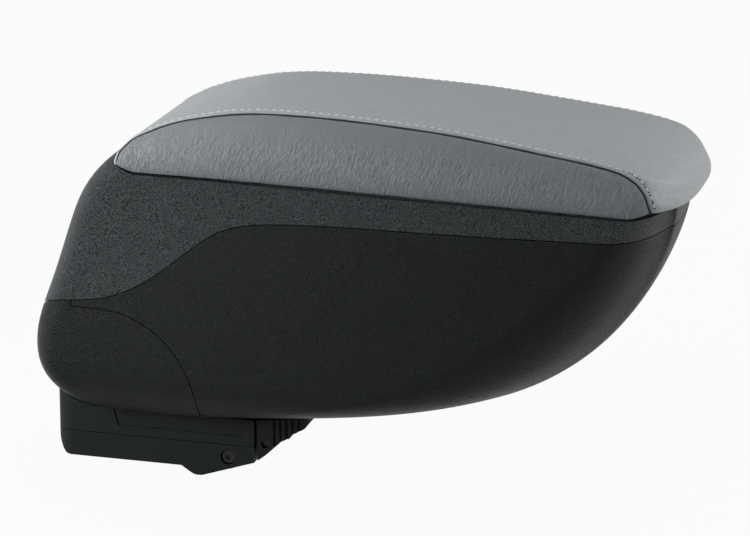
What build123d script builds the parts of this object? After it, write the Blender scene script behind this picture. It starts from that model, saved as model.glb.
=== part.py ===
from build123d import *
from math import asin, copysign, cos, radians, sin, sqrt, tan
import os

os.makedirs("parts", exist_ok=True)

# Car centre armrest. Millimetres, +X forward, +Y to the left, +Z up.
# The origin is the centre of the four tapped holes under the base.

# Arm shell, outer form
pivot_x = -13.0
keel_z = 28.5
heel_radius = 34.0
rim_z = 159.0
bow_x = 281.5
bow_run = 163.0
bow_round = 1.8
keel_ease = 79.0
keel_power = 13
lean = radians(19.0)
shoulder_z = rim_z - 31
shoulder_radius = 80.0
rear_half = 46.0
front_half = 61.5
side_draft = 0.026
bilge_width = 22.0
bilge_height = 30.0
rear_run = 20.0
rear_square = 2.6
nose_run = 21.0
nose_growth = 0.5
nose_share = 0.6
nose_square = 2.0
wall = 2.8
parting = 0.5
pivot_z = keel_z + heel_radius
heel_x = pivot_x - heel_radius
beyond = 20.0
span = front_half + beyond

# Parting lines of the shell, seen from the side
frame_line = [(heel_x - 5, pivot_z + 6.5), (heel_x + 4, pivot_z + 17.1), (heel_x + 13, pivot_z + 24.5),
              (pivot_x + 5, pivot_z + 29.8), (pivot_x + 32, pivot_z + 40.6), (pivot_x + 56, rim_z - 37.6),
              (pivot_x + 74.4, rim_z - 25), (pivot_x + 105.5, rim_z - 18.7), (bow_x - 118.5, rim_z - 16.5),
              (bow_x - 49.5, rim_z - 14.4), (bow_x + 18.5, rim_z - 11.9)]
arc_x = pivot_x + 8.5
arc_top_z = pivot_z + 25.4
arc_radius = 50.4
arc_z = arc_top_z - arc_radius
tail_x = pivot_x - 6
bulkhead = 2.8
roof_z = arc_top_z + bulkhead
wall_x = arc_x + arc_radius + bulkhead

# Upper frame
lip_z = rim_z + 2.6
lip_x = pivot_x + 20.5
lip_run = 9.0
flange = 3.0
flange_width = 12.0
rim_drop = 2.0
rim_drop_x = pivot_x + 73
shelf_z = roof_z + 6.3
shelf_front = pivot_x + 23

# Lid hinge
hinge_x = pivot_x + 17.7
hinge_z = rim_z + 2.7
mouth_rear = lip_x + 16.5
hinge_pin_radius = 1.5
knuckle_radius = 3.0
hinge_sweep = 3.6
ear_y = 22.0
ear_width = 8.0
hinge_end_y = 38.0
hinge_side_gap = 0.4
hinge_room_gap = 0.6
hinge_roof = 2.1
barrel_web = 9.0

# Lid and cushion
lid_gap = 1.0
lid_z = rim_z + lid_gap
board_rise = 0.2
board = 3.0
cover = 2.0
pad_rear = lip_x - 4.6
pad_front = bow_x + 8.5
pad_rear_run = 5.0
pad_nose_run = 30.0
pad_nose_square = 2.4
pad_side_inset = 0.3
skirt_gap = 0.3
board_inset = 3.5
cushion_height = 45.0
pad_lean = 0.25
seam_rear_x = lip_x
seam_front_x = pad_front - 15.5
crown_line = [(lip_x - 7.5, lid_z - 4), (lip_x - 4.7, lid_z + 2.4), (lip_x + 0.5, lid_z + 11),
              (lip_x + 5.2, lid_z + 16), (lip_x + 14.8, lid_z + 22.2), (lip_x + 29.4, lid_z + 27.9),
              (lip_x + 44.1, lid_z + 31.3), (lip_x + 58.7, lid_z + 33.8), (lip_x + 88.1, lid_z + 35.4),
              (lip_x + 112.4, lid_z + 35.1), (pad_front - 140, lid_z + 33.9), (pad_front - 114.6, lid_z + 32.1),
              (pad_front - 89.8, lid_z + 29.5), (pad_front - 65.1, lid_z + 26.1), (pad_front - 40.7, lid_z + 22),
              (pad_front - 24, lid_z + 18.2), (pad_front - 10, lid_z + 12.9), (pad_front + 3, lid_z + 2.6)]
tongue_x = bow_x - 7
tongue_width = 22.0
tongue_depth = 9.0
tongue = 2.4
tongue_gap = 1.2
bumper_radius = 3.5
bumper_stem = 1.5
bumper_inset = 7.6
bumper_x = [bow_x - 171.5, bow_x - 81.5]

# Base
base_half = 22.0
base_rear = pivot_x - 25
base_front = 69.0
base_wall = 3.0
base_split = 13.2
saddle_gap = 1.1
saddle_lip_z = keel_z + 4.9
bump_x = base_front - 32
bump_z = -4.4
bump_length = 4.0
bump_rear_slope = 7.0
bump_round = 6.0
base_nose_z = 5.0
base_corner = 8.5
base_heel_x = 2.8
base_heel_z = 4.4
base_plan_corner = 9.0
base_gap = 0.4
window_gap = 1.2
field_x = pivot_x + 9.3
field_z = base_split + 5.2
field_slope = 4.5
field_end = 6.0
field_depth = 0.6
stop_rear = pivot_x + 25
stop_front = pivot_x + 45
stop_half = 13.0
stop_corner = 3.0

# Mounting pattern under the base
bolt_dx = 36.0
bolt_dy = 22.0
bolt_radius = 2.5
bolt_pad_radius = 5.5

# Knuckle bracket and tilt axle
foot_length = 50.0
foot_gap = 1.5
foot_half = base_half - base_wall - foot_gap
foot_z = 3.0
foot = 6.0
upright_half = 10.0
knuckle_half = 12.0
eye_radius = 14.0
axle_radius = 5.0
axle_half = 31.5
axle_chamfer = 0.6
running_fit = 0.05
washer = 1.6
washer_gap = 0.1
washer_radius = 12.5
disc = 1.2
disc_rise = 0.4
disc_radius = 11.0
foot_corner = 4.0
tilt_max = 80.0

# Bearing blocks inside the rear housing
block_inner = 17.0
block_outer = 32.0
block_half = 15.0
clamp_height = 11.0
slot_half = 15.0
slot_margin = radians(5.0)
slot_steps = 6
rib_y = 26.5
rib = 9.0
rib_z = pivot_z - 8.5
clamp_gap = 0.4
clamp_corner = 3.0
clamp_screw_reach = 10.0
roof_screw = (arc_x + 12.5, 26)
front_screw_z = keel_z + 15.5

# Floor mat
mat = 2.0
mat_rear = wall_x + 3.3
mat_front = mat_rear + 80
mat_half = 20.0
mat_corner = 8.0

# Release lever
lever_x = base_front + 5.5
lever_z = base_split + 1.8
lever_gap = 1.0
lever_front = base_front + 27.6
lever_top_rear = keel_z - 0.9
lever_top_front = keel_z + 1.9
lever_side_gap = 1.0
lever_half = base_half - lever_side_gap
lever_cheek = 9.0
lever_cheek_front = lever_x + 8.5
lever_lip = 3.0
lever_step = 5.5
lever_under = [(lever_front, lever_top_front - lever_lip), (lever_front - 1.6, lever_top_front - lever_step),
               (lever_x + 14.7, lever_z + 6.8), (lever_x + 12.8, lever_z + 4.3), (lever_x + 8.9, lever_z + 2.6),
               (lever_x + 0.5, lever_z - 5.5)]
lever_corner = 5.0
lever_foot_gap = 0.6
lever_pin_radius = 2.0
lug_half = 5.5
lug_radius = 5.0
lug_foot = 9.0
spring_wire = 1.4
spring_turns = 3
spring_pitch = 1.35
spring_clear = 0.5
rib_pitch = 3.2
rib_count = 7
rib_cut = 1.3
rib_depth = 1.0

# Screws
screw_radius = 2.0
screw_head_radius = 3.8
screw_head = 1.8
screw_sink = 1.4
screw_length = 12.0
screw_relief = 1.0
head_round = 0.6
socket_radius = 1.6
socket_depth = 1.1
screw_fit = 0.1
post_radius = 4.5
post_clear = 1.0
post_rib = 3.0
post_foot_z = rim_z - 48.8
post_rib_z = rim_z - 30.8
frame_screw_x = [wall_x + 23.3, (wall_x + bow_x) / 2 - 15, bow_x - 49.5]
shelf_screw = (arc_x - 1.5, 30)
side_screw_x = base_front - 14
side_screw_z = 6.5
base_screw_x = base_front - 33
base_screw_y = 12.0
base_screw_seat = 2.0
base_screw_bite = 8.0
side_boss_radius = 6.0
side_boss = 11.0
side_sink = 3.0


def rear_x(z):
    """Rear edge of the arm at height z: a round heel, then leaning forward into a rounded top."""
    heel_top = pivot_z + heel_radius * sin(lean)
    back_foot = pivot_x - heel_radius * cos(lean)
    if z <= heel_top:
        return pivot_x - sqrt(max(heel_radius**2 - (z - pivot_z) ** 2, 0))
    if z <= shoulder_z:
        return back_foot + (z - heel_top) * tan(lean)
    shoulder_x = back_foot + (shoulder_z - heel_top) * tan(lean)
    turn = asin(min(sin(lean) + (z - shoulder_z) / shoulder_radius, 1))
    return shoulder_x + shoulder_radius * (cos(lean) - cos(turn))


def keel_drop(z):
    """Depth below the rim as a share of the shell's depth."""
    return min(max(rim_z - z, 0) / (rim_z - keel_z), 1)


def front_x(z):
    """Front edge of the arm at height z: a rounded bow from rim to keel, eased at the keel."""
    drop = keel_drop(z)
    return bow_x - bow_run * (1 - sqrt(1 - drop**bow_round)) - keel_ease * drop**keel_power


def half_width(x, z):
    """Half the arm's width: wider to the front, drawn in towards the keel."""
    widening = (front_half - rear_half) / (bow_x - heel_x)
    low = max(1 - (z - keel_z) / bilge_height, 0)
    tuck = bilge_width * (1 - sqrt(1 - low**2))
    return rear_half + widening * (x - heel_x) - side_draft * max(rim_z - z, 0) - tuck


def plan_face(rear, front, rear_length, rear_power, nose_length, nose_power, width):
    """Plan outline: a rounded rear end, straight widening sides and a rounded nose."""

    def end_points(tip, length, power):
        points = []
        for degrees in (0, 22.5, 45, 67.5, 90):
            along = max(cos(radians(degrees)), 0) ** (2 / power)
            x = tip + length * (1 - along)
            points.append((x, -width(x) * sin(radians(degrees)) ** (2 / power)))
        return points

    rear_end = end_points(rear, rear_length, rear_power)
    nose = end_points(front, -nose_length, nose_power)[::-1]
    side = (nose[0][0] - rear_end[-1][0], nose[0][1] - rear_end[-1][1])
    with BuildSketch() as outline:
        with BuildLine():
            Spline(*rear_end, tangents=[(0, -1), side])
            Line(rear_end[-1], nose[0])
            Spline(*nose, tangents=[side, (0, 1)])
            mirror(about=Plane.XZ)
        make_face()
    return outline.sketch


def arm_plan(z, inset):
    """Plan outline of the arm at height z, drawn in by inset."""
    rear = rear_x(z) + inset
    front = front_x(z) - inset
    nose = min(nose_run + nose_growth * max(rim_z - z, 0), nose_share * (front - rear - rear_run))
    return plan_face(rear, front, rear_run, rear_square, nose, nose_square,
                     lambda x: half_width(x, z) - inset)


def pad_plan(inset):
    """Plan outline of the cushion, drawn in by inset."""
    return plan_face(pad_rear + inset, pad_front - inset, pad_rear_run, rear_square, pad_nose_run,
                     pad_nose_square, lambda x: half_width(x, rim_z) - pad_side_inset - inset)


def arm_form(inset):
    """Solid inside the arm's outer form, drawn in by inset and raised by it at the keel."""
    with BuildPart() as form:
        for degrees in (0, 8, 16, 25, 36, 48, 62, 76, 90, 98):
            z = keel_z + (rim_z - keel_z) * (1 - cos(radians(degrees)))
            raise_by = inset * max(rim_z - z, 0) / (rim_z - keel_z)
            with BuildSketch(Plane.XY.offset(z + raise_by)):
                add(arm_plan(z, inset))
        loft()
    return form.part


def under_line(shift):
    """Everything below the parting line under the upper frame, moved up by shift."""
    with BuildPart() as zone:
        with BuildSketch(Plane.XZ):
            line = [(x, z + shift) for x, z in frame_line]
            with BuildLine():
                Spline(*line)
                Polyline(line[-1], (line[-1][0], keel_z - beyond), (line[0][0], keel_z - beyond), line[0])
            make_face()
        extrude(amount=span, both=True)
    return zone.part


def ahead_of_arc(gap):
    """Everything ahead of the arc between rear housing and casing, moved back by gap."""
    radius = arc_radius - gap
    top = arc_z + radius
    with BuildPart() as zone:
        with BuildSketch(Plane.XZ):
            with BuildLine():
                Polyline((arc_x + radius, arc_z), (arc_x + radius, keel_z - beyond), (bow_x + beyond, keel_z - beyond),
                         (bow_x + beyond, rim_z), (tail_x - gap, rim_z), (tail_x - gap, top), (arc_x, top))
                CenterArc((arc_x, arc_z), radius, 0, 90)
            make_face()
        extrude(amount=span, both=True)
    return zone.part


def screw(length):
    """Pan-head screw with a hexagon socket, its head on the XY plane and its shank down."""
    with BuildPart() as fastener:
        with BuildSketch():
            Circle(screw_head_radius)
        extrude(amount=screw_head)
        fillet(fastener.edges().group_by(Axis.Z)[-1], head_round)
        with BuildSketch(Plane.XY.offset(screw_head)):
            RegularPolygon(socket_radius, 6)
        extrude(amount=-socket_depth, mode=Mode.SUBTRACT)
        with BuildSketch():
            Circle(screw_radius)
        extrude(amount=-length)
    return fastener.part


def both_sides(x, y):
    """The same place on the left and on the right."""
    return [(x, y), (x, -y)]


arm_outer = arm_form(0)
arm_inner = arm_form(wall)
below_frame = under_line(-parting / 2)
casing_side = ahead_of_arc(0)
flange_under = rim_z - flange
board_z = lid_z + board_rise
rebate = pad_side_inset + cover + skirt_gap
top_panel_half = rear_half - pad_lean * cushion_height
rim_end_x = bow_x + beyond
rim_end_z = rim_z - rim_drop * (rim_end_x - rim_drop_x) / (bow_x - rim_drop_x)
bore_radius = axle_radius + running_fit
post_inset = wall + post_radius + post_clear
frame_screw_places = []
for x in frame_screw_x:
    frame_screw_places += both_sides(x, half_width(x, rim_z) - post_inset)
bumper_places = []
for x in bumper_x:
    bumper_places += both_sides(x, half_width(x, rim_z) - bumper_inset)
pivot_axis = Axis((pivot_x, 0, pivot_z), (0, 1, 0))
clamp_screw_places = []
for reach in (-clamp_screw_reach, clamp_screw_reach):
    clamp_screw_places += both_sides(pivot_x + reach, (block_inner + block_outer) / 2)
roof_seat_z = arc_z + sqrt((arc_radius + bulkhead) ** 2 - (roof_screw[0] - arc_x + screw_head_radius) ** 2)
washer_face = knuckle_half + washer_gap
disc_face = washer_face + washer

saddle_radius = heel_radius + saddle_gap
base_top = pivot_z - saddle_radius
lever_rear = base_front + lever_gap
lever_inner = lever_half - lever_cheek
lever_foot_z = base_nose_z + lever_gap
lever_rib_x = lever_x + lug_radius
spring_mean = lever_pin_radius + spring_clear + spring_wire / 2
spring_y = lug_half + spring_clear + (spring_pitch * (spring_turns - 1) + spring_wire) / 2
spring_seat_z = lever_z - spring_mean - spring_wire / 2
middle_end = ear_y - ear_width / 2 - hinge_side_gap
outer_start = ear_y + ear_width / 2 + hinge_side_gap
barrels = [(-hinge_end_y, -outer_start), (-middle_end, middle_end), (outer_start, hinge_end_y)]

# Slot for the knuckle through the heel, over the whole tilt
slot_half_turn = asin(upright_half / heel_radius) + slot_margin
slot_start = radians(270 - tilt_max) - slot_half_turn
slot_end = radians(270) + slot_half_turn
slot_fan = []
for step in range(slot_steps + 1):
    turn = slot_start + (slot_end - slot_start) * step / slot_steps
    slot_fan.append((pivot_x + 2 * heel_radius * cos(turn), pivot_z + 2 * heel_radius * sin(turn)))

# Mouth of the storage compartment
with BuildSketch() as mouth:
    add(arm_plan(rim_z, flange_width))
    with Locations((mouth_rear, 0)):
        Rectangle(2 * bow_x, 2 * span, align=(Align.MIN, Align.CENTER), mode=Mode.INTERSECT)

# Rebate round the rim, where the cushion's edge hangs lower towards the front
with BuildPart() as rim_rebate:
    with BuildSketch(Plane.XZ):
        with BuildLine():
            Polyline((rim_drop_x, rim_z), (rim_end_x, rim_end_z), (rim_end_x, lip_z), (rim_drop_x, lip_z), close=True)
        make_face()
    extrude(amount=span, both=True)
    with BuildSketch(Plane.XY.offset(keel_z)):
        add(arm_plan(rim_z, rebate))
    extrude(amount=rim_z + beyond, mode=Mode.SUBTRACT)

# Upper frame: the rim under the lid, with hinge ears, screw flange and rear shelf
with BuildPart() as upper_frame:
    add(arm_outer)
    add(arm_inner, mode=Mode.SUBTRACT)
    add(under_line(parting / 2), mode=Mode.SUBTRACT)
    with BuildSketch(Plane.XZ):
        with BuildLine():
            Polyline((heel_x - beyond, keel_z), (heel_x - beyond, lip_z), (lip_x, lip_z),
                     (lip_x + lip_run, rim_z), (bow_x + beyond, rim_z), (bow_x + beyond, keel_z), close=True)
        make_face()
    extrude(amount=span, both=True, mode=Mode.INTERSECT)
    with BuildSketch(Plane.XY.offset(flange_under)):
        add(arm_plan(rim_z, wall / 2))
        add(mouth.sketch, mode=Mode.SUBTRACT)
    extrude(amount=flange)
    with BuildSketch(Plane.XY.offset(shelf_z)):
        add(arm_plan(shelf_z, wall / 2))
        with Locations((shelf_front, 0)):
            Rectangle(2 * bow_x, 2 * span, align=(Align.MAX, Align.CENTER), mode=Mode.INTERSECT)
    extrude(amount=flange)
    with BuildSketch(Plane.XZ):
        with Locations((hinge_x, hinge_z)):
            Circle(hinge_sweep)
    extrude(amount=hinge_end_y + hinge_side_gap, both=True, mode=Mode.SUBTRACT)
    for side in (-1, 1):
        with BuildSketch(Plane.XZ.offset(side * ear_y)):
            with Locations((hinge_x, hinge_z)):
                Circle(knuckle_radius)
                Rectangle(2 * knuckle_radius, hinge_z - flange_under, align=(Align.CENTER, Align.MAX))
        extrude(amount=ear_width / 2, both=True)
    with BuildSketch(Plane.XZ):
        with Locations((hinge_x, hinge_z)):
            Circle(hinge_pin_radius + running_fit)
    extrude(amount=hinge_end_y, both=True, mode=Mode.SUBTRACT)
    with BuildSketch(Plane.XY.offset(rim_z)):
        with Locations(*frame_screw_places):
            Circle(screw_radius + screw_fit)
        with Locations(*bumper_places):
            Circle(bumper_stem)
    extrude(amount=-flange, mode=Mode.SUBTRACT)
    with BuildSketch(Plane.XY.offset(rim_z)):
        with Locations(*frame_screw_places):
            Circle(screw_head_radius + screw_fit)
    extrude(amount=-screw_sink, mode=Mode.SUBTRACT)
    with BuildSketch(Plane.XY.offset(shelf_z + flange)):
        with Locations(*both_sides(*shelf_screw)):
            Circle(screw_radius + screw_fit)
    extrude(amount=-flange, mode=Mode.SUBTRACT)
    with BuildSketch(Plane.XY.offset(rim_z)):
        with Locations((tongue_x, 0)):
            Rectangle(tongue + 2 * tongue_gap, tongue_width + 2 * tongue_gap)
    extrude(amount=-flange, mode=Mode.SUBTRACT)
    add(rim_rebate.part, mode=Mode.SUBTRACT)
upper_frame.part.label = "upper_frame"
export_step(upper_frame.part, "parts/upper_frame.step")

# Bulkhead along the arc: the wall between storage compartment and tilt bearing
with BuildPart() as bulkhead_wall:
    add(casing_side)
    add(ahead_of_arc(-bulkhead), mode=Mode.SUBTRACT)
    add(arm_outer, mode=Mode.INTERSECT)

# Lower casing: the storage bowl with its bulkhead and screw posts
with BuildPart() as lower_casing:
    add(arm_outer)
    add(arm_inner, mode=Mode.SUBTRACT)
    add(casing_side, mode=Mode.INTERSECT)
    add(bulkhead_wall.part)
    add(below_frame, mode=Mode.INTERSECT)
    with BuildSketch(Plane.XY.offset(post_foot_z)):
        with Locations(*frame_screw_places):
            Circle(post_radius)
    extrude(amount=flange_under - post_foot_z)
    with BuildSketch(Plane.XY.offset(post_foot_z)):
        for x, y in frame_screw_places:
            reach = half_width(x, rim_z) - wall - post_clear / 2
            with Locations((x, (y + copysign(reach, y)) / 2)):
                Rectangle(post_rib, reach - abs(y))
    extrude(amount=post_rib_z - post_foot_z)
    with BuildSketch(Plane.XY.offset(shelf_z)):
        with Locations(*both_sides(*shelf_screw)):
            Circle(post_radius)
    extrude(amount=roof_z - bulkhead / 2 - shelf_z)
    with BuildSketch(Plane.XY.offset(shelf_z)):
        with Locations(*both_sides(*shelf_screw)):
            Circle(screw_radius + screw_fit)
    extrude(amount=-screw_length, mode=Mode.SUBTRACT)
    with BuildSketch(Plane.XY.offset(flange_under)):
        with Locations(*frame_screw_places):
            Circle(screw_radius + screw_fit)
    extrude(amount=-screw_length, mode=Mode.SUBTRACT)
    with BuildSketch(Plane.XY.offset(roof_seat_z)):
        with Locations(*both_sides(*roof_screw)):
            Circle(screw_head_radius + screw_fit)
    extrude(amount=bulkhead, mode=Mode.SUBTRACT)
    with BuildSketch(Plane.XY.offset(roof_seat_z)):
        with Locations(*both_sides(*roof_screw)):
            Circle(screw_radius + screw_fit)
    extrude(amount=-2 * bulkhead, mode=Mode.SUBTRACT)
    with BuildSketch(Plane.YZ.offset(arc_x + arc_radius - bulkhead)):
        with Locations(*[(y, front_screw_z) for y in (rib_y, -rib_y)]):
            Circle(screw_radius + screw_fit)
    extrude(amount=3 * bulkhead, mode=Mode.SUBTRACT)
lower_casing.part.label = "lower_casing"
export_step(lower_casing.part, "parts/lower_casing.step")

# Solid blocks and posts inside the rear housing
with BuildPart() as housing_blocks:
    for side in (-1, 1):
        with BuildSketch(Plane.XZ.offset(side * (block_inner + block_outer) / 2)):
            with Locations((pivot_x, pivot_z)):
                Rectangle(2 * block_half, 2 * heel_radius, align=(Align.CENTER, Align.MAX))
        extrude(amount=(block_outer - block_inner) / 2, both=True)
        with BuildSketch(Plane.XZ.offset(side * rib_y)):
            with Locations((pivot_x, rib_z)):
                Rectangle(2 * arc_radius, 2 * heel_radius, align=(Align.MIN, Align.MAX))
        extrude(amount=rib / 2, both=True)
    with BuildSketch(Plane.XY.offset(keel_z)):
        with Locations(*both_sides(*roof_screw)):
            Circle(post_radius)
    extrude(amount=arc_top_z - keel_z)
    add(arm_outer, mode=Mode.INTERSECT)

# Rear housing: the round heel that carries the tilt axle in two bearing blocks
with BuildPart() as rear_housing:
    add(arm_outer)
    add(arm_inner, mode=Mode.SUBTRACT)
    add(housing_blocks.part)
    add(below_frame, mode=Mode.INTERSECT)
    add(ahead_of_arc(parting), mode=Mode.SUBTRACT)
    with BuildSketch(Plane.XZ):
        with BuildLine():
            Polyline((pivot_x, pivot_z), *slot_fan, close=True)
        make_face()
        with Locations((pivot_x, pivot_z)):
            Circle(heel_radius - 3 * wall, mode=Mode.SUBTRACT)
    extrude(amount=slot_half, both=True, mode=Mode.SUBTRACT)
    with BuildSketch(Plane.XZ):
        with Locations((pivot_x, pivot_z)):
            Circle(bore_radius)
    extrude(amount=block_outer, both=True, mode=Mode.SUBTRACT)
    with BuildSketch(Plane.XY.offset(pivot_z)):
        with Locations(*clamp_screw_places):
            Circle(screw_radius + screw_fit)
    extrude(amount=-screw_length, mode=Mode.SUBTRACT)
    with BuildSketch(Plane.XY.offset(roof_seat_z)):
        with Locations(*both_sides(*roof_screw)):
            Circle(screw_radius + screw_fit)
    extrude(amount=-screw_length - bulkhead, mode=Mode.SUBTRACT)
    with BuildSketch(Plane.YZ.offset(arc_x + arc_radius)):
        with Locations(*[(y, front_screw_z) for y in (rib_y, -rib_y)]):
            Circle(screw_radius + screw_fit)
    extrude(amount=-screw_length, mode=Mode.SUBTRACT)
rear_housing.part.label = "rear_housing"
export_step(rear_housing.part, "parts/rear_housing.step")

# Floor mat, a rubber sheet that follows the bottom of the storage bowl
with BuildPart() as floor_mat:
    add(arm_form(wall))
    add(arm_form(wall + mat), mode=Mode.SUBTRACT)
    with BuildSketch(Plane.XY.offset(keel_z)):
        with Locations(((mat_rear + mat_front) / 2, 0)):
            RectangleRounded(mat_front - mat_rear, 2 * mat_half, mat_corner)
    extrude(amount=rim_z - keel_z, mode=Mode.INTERSECT)
floor_mat.part.label = "floor_mat"
export_step(floor_mat.part, "parts/floor_mat.step")

# Rubber bumpers under the lid
with BuildPart() as lid_bumpers:
    with BuildSketch(Plane.XY.offset(rim_z)):
        with Locations(*bumper_places):
            Circle(bumper_radius)
    extrude(amount=board_z - rim_z)
    with BuildSketch(Plane.XY.offset(rim_z)):
        with Locations(*bumper_places):
            Circle(bumper_stem)
    extrude(amount=-flange)
lid_bumpers.part.label = "lid_bumpers"
export_step(lid_bumpers.part, "parts/lid_bumpers.step")

# Tilt axle, clamped in the bearing blocks
with BuildPart() as tilt_axle:
    with BuildSketch(Plane.XZ):
        with Locations((pivot_x, pivot_z)):
            Circle(axle_radius)
    extrude(amount=axle_half, both=True)
    chamfer(tilt_axle.edges().filter_by(GeomType.CIRCLE), axle_chamfer)
tilt_axle.part.label = "tilt_axle"
export_step(tilt_axle.part, "parts/tilt_axle.step")

# Axle clamps over the bearing blocks
with BuildPart() as axle_clamps:
    for side in (-1, 1):
        with BuildSketch(Plane.XZ.offset(side * (block_inner + block_outer) / 2)):
            with Locations((pivot_x, pivot_z + clamp_gap)):
                Rectangle(2 * block_half, clamp_height, align=(Align.CENTER, Align.MIN))
            with Locations((pivot_x, pivot_z)):
                Circle(bore_radius, mode=Mode.SUBTRACT)
        extrude(amount=(block_outer - block_inner) / 2, both=True)
    with BuildSketch(Plane.XY.offset(pivot_z)):
        with Locations(*clamp_screw_places):
            Circle(screw_radius + screw_fit)
    extrude(amount=2 * clamp_height, mode=Mode.SUBTRACT)
    fillet(axle_clamps.edges().filter_by(Axis.Y).group_by(Axis.Z)[-1], clamp_corner)
axle_clamps.part.label = "axle_clamps"
export_step(axle_clamps.part, "parts/axle_clamps.step")

# Friction washers between knuckle and disc springs
with BuildPart() as friction_washers:
    for side in (-1, 1):
        with BuildSketch(Plane.XZ.offset(side * (washer_face + washer / 2))):
            with Locations((pivot_x, pivot_z)):
                Circle(washer_radius)
                Circle(bore_radius, mode=Mode.SUBTRACT)
        extrude(amount=washer / 2, both=True)
friction_washers.part.label = "friction_washers"
export_step(friction_washers.part, "parts/friction_washers.step")

# Disc springs, two dished rings on each side, set face to face
with BuildPart() as disc_springs:
    for side in (-1, 1):
        for order in (0, 1):
            inner = disc_face + order * (disc + disc_rise)
            rise = disc_rise if order == 0 else -disc_rise
            start = inner + (0 if order == 0 else disc_rise)
            with BuildSketch(Plane.XY.offset(pivot_z)):
                with BuildLine():
                    Polyline((pivot_x + bore_radius, side * (start + rise)),
                             (pivot_x + disc_radius, side * start),
                             (pivot_x + disc_radius, side * (start + disc)),
                             (pivot_x + bore_radius, side * (start + disc + rise)), close=True)
                make_face()
            revolve(axis=pivot_axis)
disc_springs.part.label = "disc_springs"
export_step(disc_springs.part, "parts/disc_springs.step")

# Knuckle bracket: the cast foot and upright that carry the arm
with BuildPart() as knuckle_bracket:
    with BuildSketch(Plane.XY.offset(foot_z)):
        RectangleRounded(foot_length, 2 * foot_half, foot_corner)
    extrude(amount=foot)
    with BuildSketch(Plane.XY):
        with GridLocations(bolt_dx, bolt_dy, 2, 2):
            Circle(bolt_pad_radius)
    extrude(amount=foot_z)
    with BuildSketch(Plane.XZ):
        with Locations((pivot_x, pivot_z)):
            Circle(eye_radius)
            Rectangle(2 * upright_half, pivot_z - foot_z - foot / 2, align=(Align.CENTER, Align.MAX))
    extrude(amount=knuckle_half, both=True)
    with BuildSketch(Plane.XZ):
        with Locations((pivot_x, pivot_z)):
            Circle(bore_radius)
    extrude(amount=knuckle_half, both=True, mode=Mode.SUBTRACT)
    with BuildSketch(Plane.XY):
        with GridLocations(bolt_dx, bolt_dy, 2, 2):
            Circle(bolt_radius)
    extrude(amount=foot_z + foot + bolt_radius, mode=Mode.SUBTRACT)
knuckle_bracket.part.label = "knuckle_bracket"
export_step(knuckle_bracket.part, "parts/knuckle_bracket.step")


def base_plan(inset):
    """Plan outline of the base shells, rounded at the rear corners."""
    with BuildSketch() as outline:
        with Locations((base_rear + inset, 0)):
            Rectangle(base_front - base_rear - 2 * inset, 2 * (base_half - inset),
                      align=(Align.MIN, Align.CENTER))
        fillet(outline.vertices().group_by(Axis.X)[0], base_plan_corner - inset)
    return outline.sketch


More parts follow.
